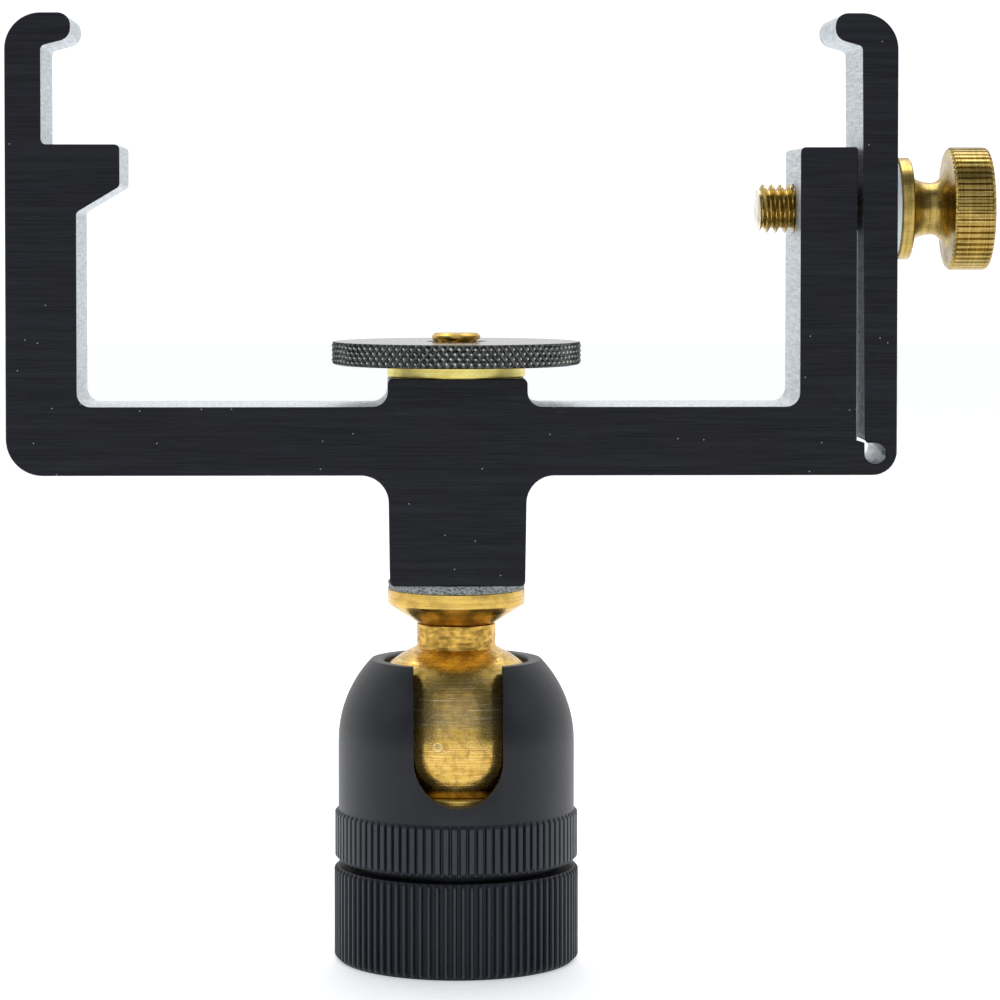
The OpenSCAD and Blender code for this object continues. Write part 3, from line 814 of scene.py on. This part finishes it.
BALL_Z, DOME_R, SOCKET_R, RIM_Z, MOUTH_R = 17.5, 9.45, 8.25, 24.05, 5.8
BAND_R, BAND_LOW, BAND_HIGH, CHAMFER = 9.72, 8.1, 12.1, 0.27
DOME_KNURL = (90, 0.55, 0.15)  # ridges, and the shares of each that are crest and root
angles = knurl_angles(*DOME_KNURL)
rim = math.degrees(math.asin((RIM_Z - BALL_Z) / DOME_R))
mouth = math.degrees(math.acos(MOUTH_R / SOCKET_R))
DOME_OUTLINE = profile(
    (SOCKET_R, BAND_LOW), (BAND_R - CHAMFER, BAND_LOW),
    fine((BAND_R - CHAMFER, BAND_LOW), (BAND_R, BAND_LOW + CHAMFER), 0.14),
    fine((BAND_R, BAND_LOW + CHAMFER), (BAND_R, BAND_HIGH - CHAMFER), 1.2),
    fine((BAND_R, BAND_HIGH - CHAMFER), (BAND_R - CHAMFER, BAND_HIGH), 0.14),
    (DOME_R, BAND_HIGH + 0.02), (DOME_R, BALL_Z),
    arc((0, BALL_Z), DOME_R, 3, rim, 20),
    (MOUTH_R + 0.35, RIM_Z), (MOUTH_R + 0.12, RIM_Z - 0.04), (MOUTH_R, RIM_Z - 0.16),
    arc((0, BALL_Z), SOCKET_R, mouth, 0, 20))
carving = band_relief(DOME_OUTLINE, angles, BAND_LOW, BAND_HIGH, BAND_R, RIDGE_D, *DOME_KNURL)
dome = turned("dome_shell", DOME_OUTLINE, angles, DOME_BLACK, "dome", "satin_black_anodised",
              "socket_dome", carving)
SLOT_W, SLOT_Z = 7.0, 16.9
slot_round = arc((0, SLOT_Z), SLOT_W / 2, 180, 360, 24)
slot_outline = profile(slot_round, (SLOT_W / 2, 26.0), (-SLOT_W / 2, 26.0))
cut(dome, DOME_BLACK, carried([(slot_outline, -12.0), (slot_outline, -0.5)]))


def soften(piece, chosen, width):
    """Bevels the edges for which chosen, given the ends of all edges in mm, answers True."""
    mesh = piece.data
    ends = np.empty(len(mesh.edges) * 2, np.int32)
    mesh.edges.foreach_get("vertices", ends)
    at = points_of(mesh)[ends.reshape(-1, 2)]
    weight = mesh.attributes.new("bevel_weight_edge", "FLOAT", "EDGE")
    picked = chosen(at[:, 0]) & chosen(at[:, 1])
    weight.data.foreach_set("value", picked.astype(np.float32))
    modifier = piece.modifiers.new("soft edge", "BEVEL")
    modifier.limit_method, modifier.width, modifier.segments = "WEIGHT", width * MM, 2
    apply(piece, modifier)
    return int(picked.sum())


def on_slot_edge(at):
    """True for points on the dome's outer surface that also lie on the slot's walls."""
    x, y, z = at.T
    outer = np.hypot(np.hypot(x, y), np.maximum(z - BALL_Z, 0)) > DOME_R - 0.05
    wall = np.abs(np.where(z > SLOT_Z, np.abs(x), np.hypot(x, z - SLOT_Z)) - SLOT_W / 2) < 0.01
    return outer & wall & (y < 0)


print("slot edges softened:", soften(dome, on_slot_edge, 0.12))
mark_crests(dome, BAND_R, RIDGE_D, low=BAND_LOW, high=BAND_HIGH)
print("dome slot:", SLOT_W, "mm wide, round end down to z", round(SLOT_Z - SLOT_W / 2, 2))

# %% Base ring
BASE_R, BASE_H, BASE_CHAMFER, SPIGOT_R, SPIGOT_BORE_R, SPIGOT_Z = 9.78, 7.55, 0.4, 8.2, 6.9, 12.0
FLOOR_Z, M6_R, M6_END, M6_PITCH, M6_DEPTH = 8.0, 2.5, 6.5, 1.0, 0.45
BASE_KNURL = (90, 0.25, 0.45)
M6_LEAD = M6_END - 0.6
angles = knurl_angles(*BASE_KNURL)
BASE_OUTLINE = profile(
    (0, FLOOR_Z), (SPIGOT_BORE_R, FLOOR_Z), (SPIGOT_BORE_R, SPIGOT_Z), (SPIGOT_R, SPIGOT_Z),
    (SPIGOT_R, BASE_H), (BASE_R - CHAMFER, BASE_H),
    fine((BASE_R - CHAMFER, BASE_H), (BASE_R, BASE_H - CHAMFER), 0.14),
    fine((BASE_R, BASE_H - CHAMFER), (BASE_R, BASE_CHAMFER), 1.2),
    fine((BASE_R, BASE_CHAMFER), (BASE_R - BASE_CHAMFER, 0), 0.14),
    (M6_R + M6_DEPTH, 0), fine((M6_R, M6_DEPTH), (M6_R, M6_LEAD), M6_PITCH / 8),
    (M6_R - 0.3, M6_END), (0, M6_END))
carving = band_relief(BASE_OUTLINE, angles, 0, BASE_H, BASE_R, RIDGE_D, *BASE_KNURL)
r, z = BASE_OUTLINE[:, :1], BASE_OUTLINE[:, 1:]
bore = (np.abs(r - M6_R) < 1e-6) & (z < M6_END)
fade = ramp((z - M6_DEPTH) / 0.4) * ramp((M6_LEAD - z) / 0.4)
carving = np.where(bore, -fade * thread(angles, z, M6_PITCH, M6_DEPTH), carving)
base = turned("base_body", BASE_OUTLINE, angles, RING_BLACK, "base", "satin_black_anodised",
              "base_ring", carving, closed=False)
mark_crests(base, BASE_R, RIDGE_D)

# %% [markdown]
# ## Ball, seat and collar
#
# The ball is a sphere that was turned in one piece with its neck, and it was finished by hand: it
# shows fine rings, and the neck is rough where it was left from the saw. Rings and roughness are
# small changes of radius on the lathe's grid. The bore for the spindle is part of the outline.

# %% Ball, seat and collar
BALL_R, NECK_R, NECK_Z, COLLAR_Z, FRICTION_Z, FOOT_Z = 8.2, 3.18, 25.1, 26.9, 29.7, 30.36
HOLE_R, SPINDLE_FOOT = 2.0, 20.0
neck_turn = math.degrees(math.acos(NECK_R / BALL_R))
BALL_OUTLINE = profile(
    (0, SPINDLE_FOOT - 0.7), (HOLE_R, SPINDLE_FOOT - 0.7), (HOLE_R, COLLAR_Z),
    (NECK_R - 0.05, COLLAR_Z), fine((NECK_R, COLLAR_Z - 0.06), (NECK_R, BALL_Z + 7.72), 0.09),
    arc((0, BALL_Z), BALL_R, neck_turn - 0.6, -90, 96))
angles = even_angles(160)
r, z = BALL_OUTLINE[:, :1], BALL_OUTLINE[:, 1:]
grid = (len(z), len(angles))
hammered = (0.03 * (smooth_noise(grid, (60, 26), 4) - 1)
            + 0.01 * (smooth_noise(grid, (90, 60), 5) - 1))
rings = 0.006 * (np.sin(z * 9.1) * np.sin(z * 4.3 + 1) - 1) * ramp(BALL_R - np.abs(z - BALL_Z))
relief_depth = np.where((z > NECK_Z) & (r > NECK_R - 0.01), hammered,
                        np.where(z < NECK_Z, rings, 0) * (r > HOLE_R))
turned("ball_body", BALL_OUTLINE, angles, WORN_BRASS, "ball", "worn_brass", "ball_stud",
       relief_depth, closed=False)

cup = [math.degrees(math.asin((z - BALL_Z) / SOCKET_R)) for z in (13.9, BALL_Z - 7.1)]
SEAT_OUTLINE = profile((4.2, 9.2), (6.7, 9.2), (6.8, 9.3), (6.8, 12.0), (8.0, 12.0), (8.1, 12.1),
                       (8.1, 13.8), (8.0, 13.9),
                       arc((0, BALL_Z), SOCKET_R, cup[0], cup[1], 16))
turned("seat_cup", SEAT_OUTLINE, even_angles(96), BRIGHT_BRASS, "seat", "turned_brass",
       "ball_seat")

WASHER_R, WASHER_LIP, CLEAR = 5.5, 5.42, 0.004
COLLAR_OUTLINE = profile((HOLE_R, COLLAR_Z), (2.95, COLLAR_Z), (5.46, 28.52), (WASHER_R, 28.6),
                         (WASHER_R, 29.64), (5.44, FRICTION_Z), (HOLE_R, FRICTION_Z))
turned("collar_flange", COLLAR_OUTLINE, even_angles(128), BRIGHT_BRASS, "ball", "worn_brass",
       "flange_collar")

FIBRE_OUTLINE = profile((HOLE_R, FRICTION_Z), (WASHER_LIP, FRICTION_Z),
                        fine((WASHER_R, FRICTION_Z + 0.06), (WASHER_R, FOOT_Z - 0.06), 0.1),
                        (WASHER_LIP, FOOT_Z - CLEAR), (HOLE_R, FOOT_Z - CLEAR))
angles = even_angles(240)
frayed = 0.05 * (smooth_noise((len(FIBRE_OUTLINE), len(angles)), (5, 90), 6) - 1)
turned("friction_ring", FIBRE_OUTLINE, angles, FIBRE, "ball", "grey_fibre", "friction_washer",
       np.where(FIBRE_OUTLINE[:, :1] > WASHER_LIP + 0.03, frayed, 0))

# %% [markdown]
# ## Spindle, clamp disc and washer
#
# The spindle is a headless screw: a thread on a rod, with a slot for a screwdriver in its top.
# The thread's relief follows height and angle together, which is what makes it climb. The disc's
# rim is cut with two slanting sets of grooves, whose crossings leave small diamonds.

# %% Spindle, clamp disc and washer
THREAD_R, DISC_Z, DISC_TOP, SPINDLE_TOP, LEAD = 1.95, 47.65, 49.5, 50.17, 0.42
angles = even_angles(72)
SPINDLE_OUTLINE = profile((0, SPINDLE_FOOT), (THREAD_R - LEAD, SPINDLE_FOOT),
                          fine((THREAD_R, SPINDLE_FOOT + LEAD), (THREAD_R, SPINDLE_TOP - 0.21),
                               M4_PITCH / 8),
                          (THREAD_R - 0.21, SPINDLE_TOP), (0, SPINDLE_TOP))
z = SPINDLE_OUTLINE[:, 1:]
shank = (SPINDLE_OUTLINE[:, :1] > THREAD_R - 0.01) * ramp((SPINDLE_TOP - 0.4 - z) / 0.2)
spindle = turned("spindle_rod", SPINDLE_OUTLINE, angles, BRIGHT_BRASS, "ball", "turned_brass",
                 "spindle", shank * thread(angles, z, M4_PITCH, M4_DEPTH), closed=False)
BLADE_DEPTH, BLADE_HALF = 0.9, 0.3
bar = np.array([[-3, SPINDLE_TOP - BLADE_DEPTH], [3, SPINDLE_TOP - BLADE_DEPTH], [3, 51],
                [-3, 51]], float)
cut(spindle, BRIGHT_BRASS, carried([(bar, -BLADE_HALF), (bar, BLADE_HALF)]))

DISC_R, DISC_STARTS, DISC_DEPTH, DISC_RISE = 10.0, 98, 0.24, 0.76
angles = even_angles(DISC_STARTS * 8)
DISC_OUTLINE = profile((HOLE_R, DISC_Z), (DISC_R - 0.3, DISC_Z),
                       fine((DISC_R - 0.3, DISC_Z), (DISC_R, DISC_Z + 0.2), 0.07),
                       fine((DISC_R, DISC_Z + 0.2), (DISC_R, DISC_TOP - 0.12), 0.07),
                       fine((DISC_R, DISC_TOP - 0.12), (DISC_R - 0.14, DISC_TOP), 0.07),
                       (HOLE_R + 0.45, DISC_TOP), (HOLE_R, DISC_TOP - 0.45))
r, z = DISC_OUTLINE[:, :1], DISC_OUTLINE[:, 1:]
knurled = DISC_R + diamond_knurl(angles, z - DISC_Z, DISC_STARTS, DISC_DEPTH, DISC_RISE)
disc = turned("disc_knurled", DISC_OUTLINE, angles, BLACK_OXIDE, "clamp_disc",
              "black_oxide_steel", "clamp_disc", np.minimum(knurled - r, 0))
mark_crests(disc, DISC_R, DISC_DEPTH, low=DISC_Z, high=DISC_TOP)

WASHER_FOOT, WASHER_TOP = 46.7 + CLEAR, DISC_Z - CLEAR
DISC_WASHER_OUTLINE = profile((HOLE_R, WASHER_FOOT), (WASHER_LIP, WASHER_FOOT),
                              (WASHER_R, 46.78), (WASHER_R, 47.57), (WASHER_LIP, WASHER_TOP),
                              (HOLE_R, WASHER_TOP))
# Painted light: the washer takes the lighter brass copy that stands in for light under the disc.
turned("disc_washer_ring", DISC_WASHER_OUTLINE, even_angles(128), LIT_WASHER_BRASS, "disc_washer",
       "turned_brass", "disc_washer")

# %% [markdown]
# ## The thumbscrew and its washer
#
# The screw is built standing on Z like every turned piece, and is then laid along X. Its shank
# needs a fine grid along its length for the thread, and its head one round its rim for the
# ridges, so it is two closed shells that touch at the collar, joined in one mesh.

# %% Thumbscrew and nylon washer
TIP_X, SCREW_COLLAR_X, WAIST_X, NARROW_X, HEAD_X, HEAD_END_X = (
    23.9, 35.2, 36.2, 38.0, 39.25, 42.5)
HEAD_R, HEAD_DEPTH, FLARE_R, COLLAR_R, WAIST_R, NARROW_R = 4.89, 0.2, 4.3, 4.07, 3.1, 2.07
HEAD_KNURL = (56, 0.4, 0.26)
angles = even_angles(72)
SHANK_OUTLINE = profile((0, TIP_X), (0.8, TIP_X + 0.01), (1.46, TIP_X + 0.07),
                        fine((1.54, TIP_X + 0.11), (THREAD_R, TIP_X + 0.45), M4_PITCH / 9),
                        fine((THREAD_R, TIP_X + 0.45), (THREAD_R, SCREW_COLLAR_X), M4_PITCH / 9),
                        (0, SCREW_COLLAR_X))
r, x = SHANK_OUTLINE[:, :1], SHANK_OUTLINE[:, 1:]
fade = (r > 1.5) * ramp((SCREW_COLLAR_X - 0.5 - x) / 0.6)
cutting = np.minimum(THREAD_R + thread(angles, x, M4_PITCH, M4_DEPTH) - r, 0) * fade
shank = lathe(SHANK_OUTLINE, angles, cutting)
tip_faces = int((SHANK_OUTLINE[:, 1] < TIP_X + 0.3).sum()) * len(angles)


def quarter(x0, r0, x1, r1, steps=10):
    """A quarter of an ellipse from (r0, x0), where it runs along the axis, to (r1, x1)."""
    a = np.linspace(0, np.pi / 2, steps + 1)
    return np.stack([r0 + (r1 - r0) * (1 - np.cos(a)), x0 + (x1 - x0) * np.sin(a)], axis=1)


HEAD_OUTLINE = profile(
    (0, SCREW_COLLAR_X), (COLLAR_R - 0.07, SCREW_COLLAR_X), (COLLAR_R, SCREW_COLLAR_X + 0.07),
    (COLLAR_R, WAIST_X - 0.12), (COLLAR_R - 0.12, WAIST_X), (WAIST_R, WAIST_X),
    quarter(NARROW_X, NARROW_R, WAIST_X, WAIST_R)[::-1],
    quarter(NARROW_X, NARROW_R, HEAD_X, FLARE_R),
    (HEAD_R - HEAD_DEPTH, HEAD_X + 0.02),
    fine((HEAD_R - HEAD_DEPTH, HEAD_X + 0.02), (HEAD_R, HEAD_X + 0.24), 0.08),
    fine((HEAD_R, HEAD_X + 0.24), (HEAD_R, HEAD_END_X - 0.42), 0.5),
    arc((HEAD_R - 0.4, HEAD_END_X - 0.4), 0.4, 0, 84, 6)[1:],
    (HEAD_R - 0.6, HEAD_END_X), (0, HEAD_END_X))
angles = knurl_angles(*HEAD_KNURL)
carving = band_relief(HEAD_OUTLINE, angles, HEAD_X, HEAD_END_X, HEAD_R, HEAD_DEPTH, *HEAD_KNURL)
points, faces = laid(*joined(shank, lathe(HEAD_OUTLINE, angles, carving)))
# The faces at the tip take the near-white brass, which is a painted reflection.
new_piece("thumbscrew_body", points, faces, [SCREW_BRASS, PAINTED_TIP_BRASS], "thumbscrew",
          "turned_brass", "thumbscrew", face_material=np.arange(len(faces)) < tip_faces)

NYLON_FROM, NYLON_TO = 34.7 + CLEAR, SCREW_COLLAR_X - CLEAR
NYLON_R, NYLON_BORE_R = 3.9, 2.05
NYLON_OUTLINE = profile((NYLON_BORE_R, NYLON_FROM), (NYLON_R - 0.06, NYLON_FROM),
                        (NYLON_R, 34.76), (NYLON_R, 35.14), (NYLON_R - 0.06, NYLON_TO),
                        (NYLON_BORE_R, NYLON_TO))
points, faces = laid(*lathe(NYLON_OUTLINE, even_angles(96), closed=True))
new_piece("nylon_ring", points, faces, [NYLON], "nylon_washer", "white_nylon", "nylon_washer")

# %% [markdown]
# ## The seat spring
#
# The disc spring lies inside the base and its CAD shape is already right, so it stays and only
# gets a finish.

# %% Seat spring
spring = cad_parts["seat_spring"].data
spring.materials.clear()
spring.materials.append(SPRING)
print("spring finish:", spring.materials[0].name)

# %% [markdown]
# ## Floor, light and surroundings
#
# Metal shows its surroundings, so light matters more than colour here. The holder stands on a
# pale floor among large soft panels, which leave bright streaks along the turned parts. The world
# is bright behind the holder and dim in front of it, so the edges of the brass have something
# dark to reflect, which is what makes round metal look round. A white backdrop stands all round
# at a distance, and only the camera sees it, so it adds no light and no reflection.

# %% Floor
scene = bpy.context.scene
FLOOR_HALF = 1500
floor_finish, tree, shader = new_finish("pale_floor", "#f7f7f8", 0.0, 0.6,
                                        Emission_Color=linear("#ffffff"), Emission_Strength=0.4)
paper = grain(tree, (40.0, 40.0, 40.0), detail=2.0)
paint(tree, shader, blend(tree, paper, "#f5f5f6", "#fafafa"))
corners = np.array([(-1, -1, 0), (1, -1, 0), (1, 1, 0), (-1, 1, 0)]) * FLOOR_HALF
floor = in_scene("floor", corners, [(0, 1, 2, 3)], floor_finish)
print("floor:", 2 * FLOOR_HALF * MM, "m wide")

# %% Backdrop
BACKDROP_R, BACKDROP_FOOT, BACKDROP_TOP = 4000, -1000, 4000
points, faces = lathe(profile((BACKDROP_R, BACKDROP_FOOT), (BACKDROP_R, BACKDROP_TOP)),
                      even_angles(64))
white = new_finish("white_backdrop", "#ffffff", 0.0, 1.0,
                   Emission_Color=linear("#ffffff"), Emission_Strength=1.0)[0]
backdrop = in_scene("backdrop", points, faces, white)
backdrop.visible_diffuse = backdrop.visible_glossy = backdrop.visible_shadow = False
backdrop.visible_transmission = backdrop.visible_volume_scatter = False
print("backdrop:", round(BACKDROP_R * MM, 1), "m away")

# %% Lights and world
def panel(name, at, aim, size, watts, colour="#ffffff"):
    """A rectangular soft light at a place in mm, aimed at another, of (width, height) in mm."""
    data = bpy.data.lights.new(name, "AREA")
    data.shape, data.size, data.size_y = "RECTANGLE", size[0] * MM, size[1] * MM
    data.energy, data.color = watts, linear(colour)[:3]
    light = bpy.data.objects.new(name, data)
    scene.collection.objects.link(light)
    light.location = Vector(at) * MM
    light.rotation_euler = (Vector(aim) * MM - light.location).to_track_quat("-Z", "Y").to_euler()
    return light


MIDDLE = (0, 0, 45)
lights = [
    panel("back_softbox", (0, 170, 400), (0, 0, 0), (420, 300), 1.0),
    panel("front_softbox", (-10, -430, 150), MIDDLE, (400, 380), 0.33, "#f1f6ff"),
    panel("overhead_softbox", (-10, -270, 340), MIDDLE, (360, 170), 0.09),
    panel("left_softbox", (-400, -120, 260), MIDDLE, (160, 240), 0.16),
    panel("right_softbox", (400, -120, 260), MIDDLE, (160, 240), 0.16),
]
BEHIND, BEFORE = 1.03, 0.2
world = bpy.data.worlds.new("light_tent")
world.use_nodes = True
tree = world.node_tree
direction = add(tree, "ShaderNodeTexCoord", output="Generated")
depth = add(tree, "ShaderNodeSeparateXYZ", {0: direction}, "Y")
tree.links.new(band(tree, depth, -0.25, 0.3, BEFORE, BEHIND),
               tree.nodes["Background"].inputs["Strength"])
tree.links.new(blend(tree, band(tree, depth, -0.25, 0.3), "#d3e2fb", "#ffffff"),
               tree.nodes["Background"].inputs["Color"])
scene.world = world
scene.view_settings.view_transform = "Standard"
print("lights:", [light.name for light in lights])
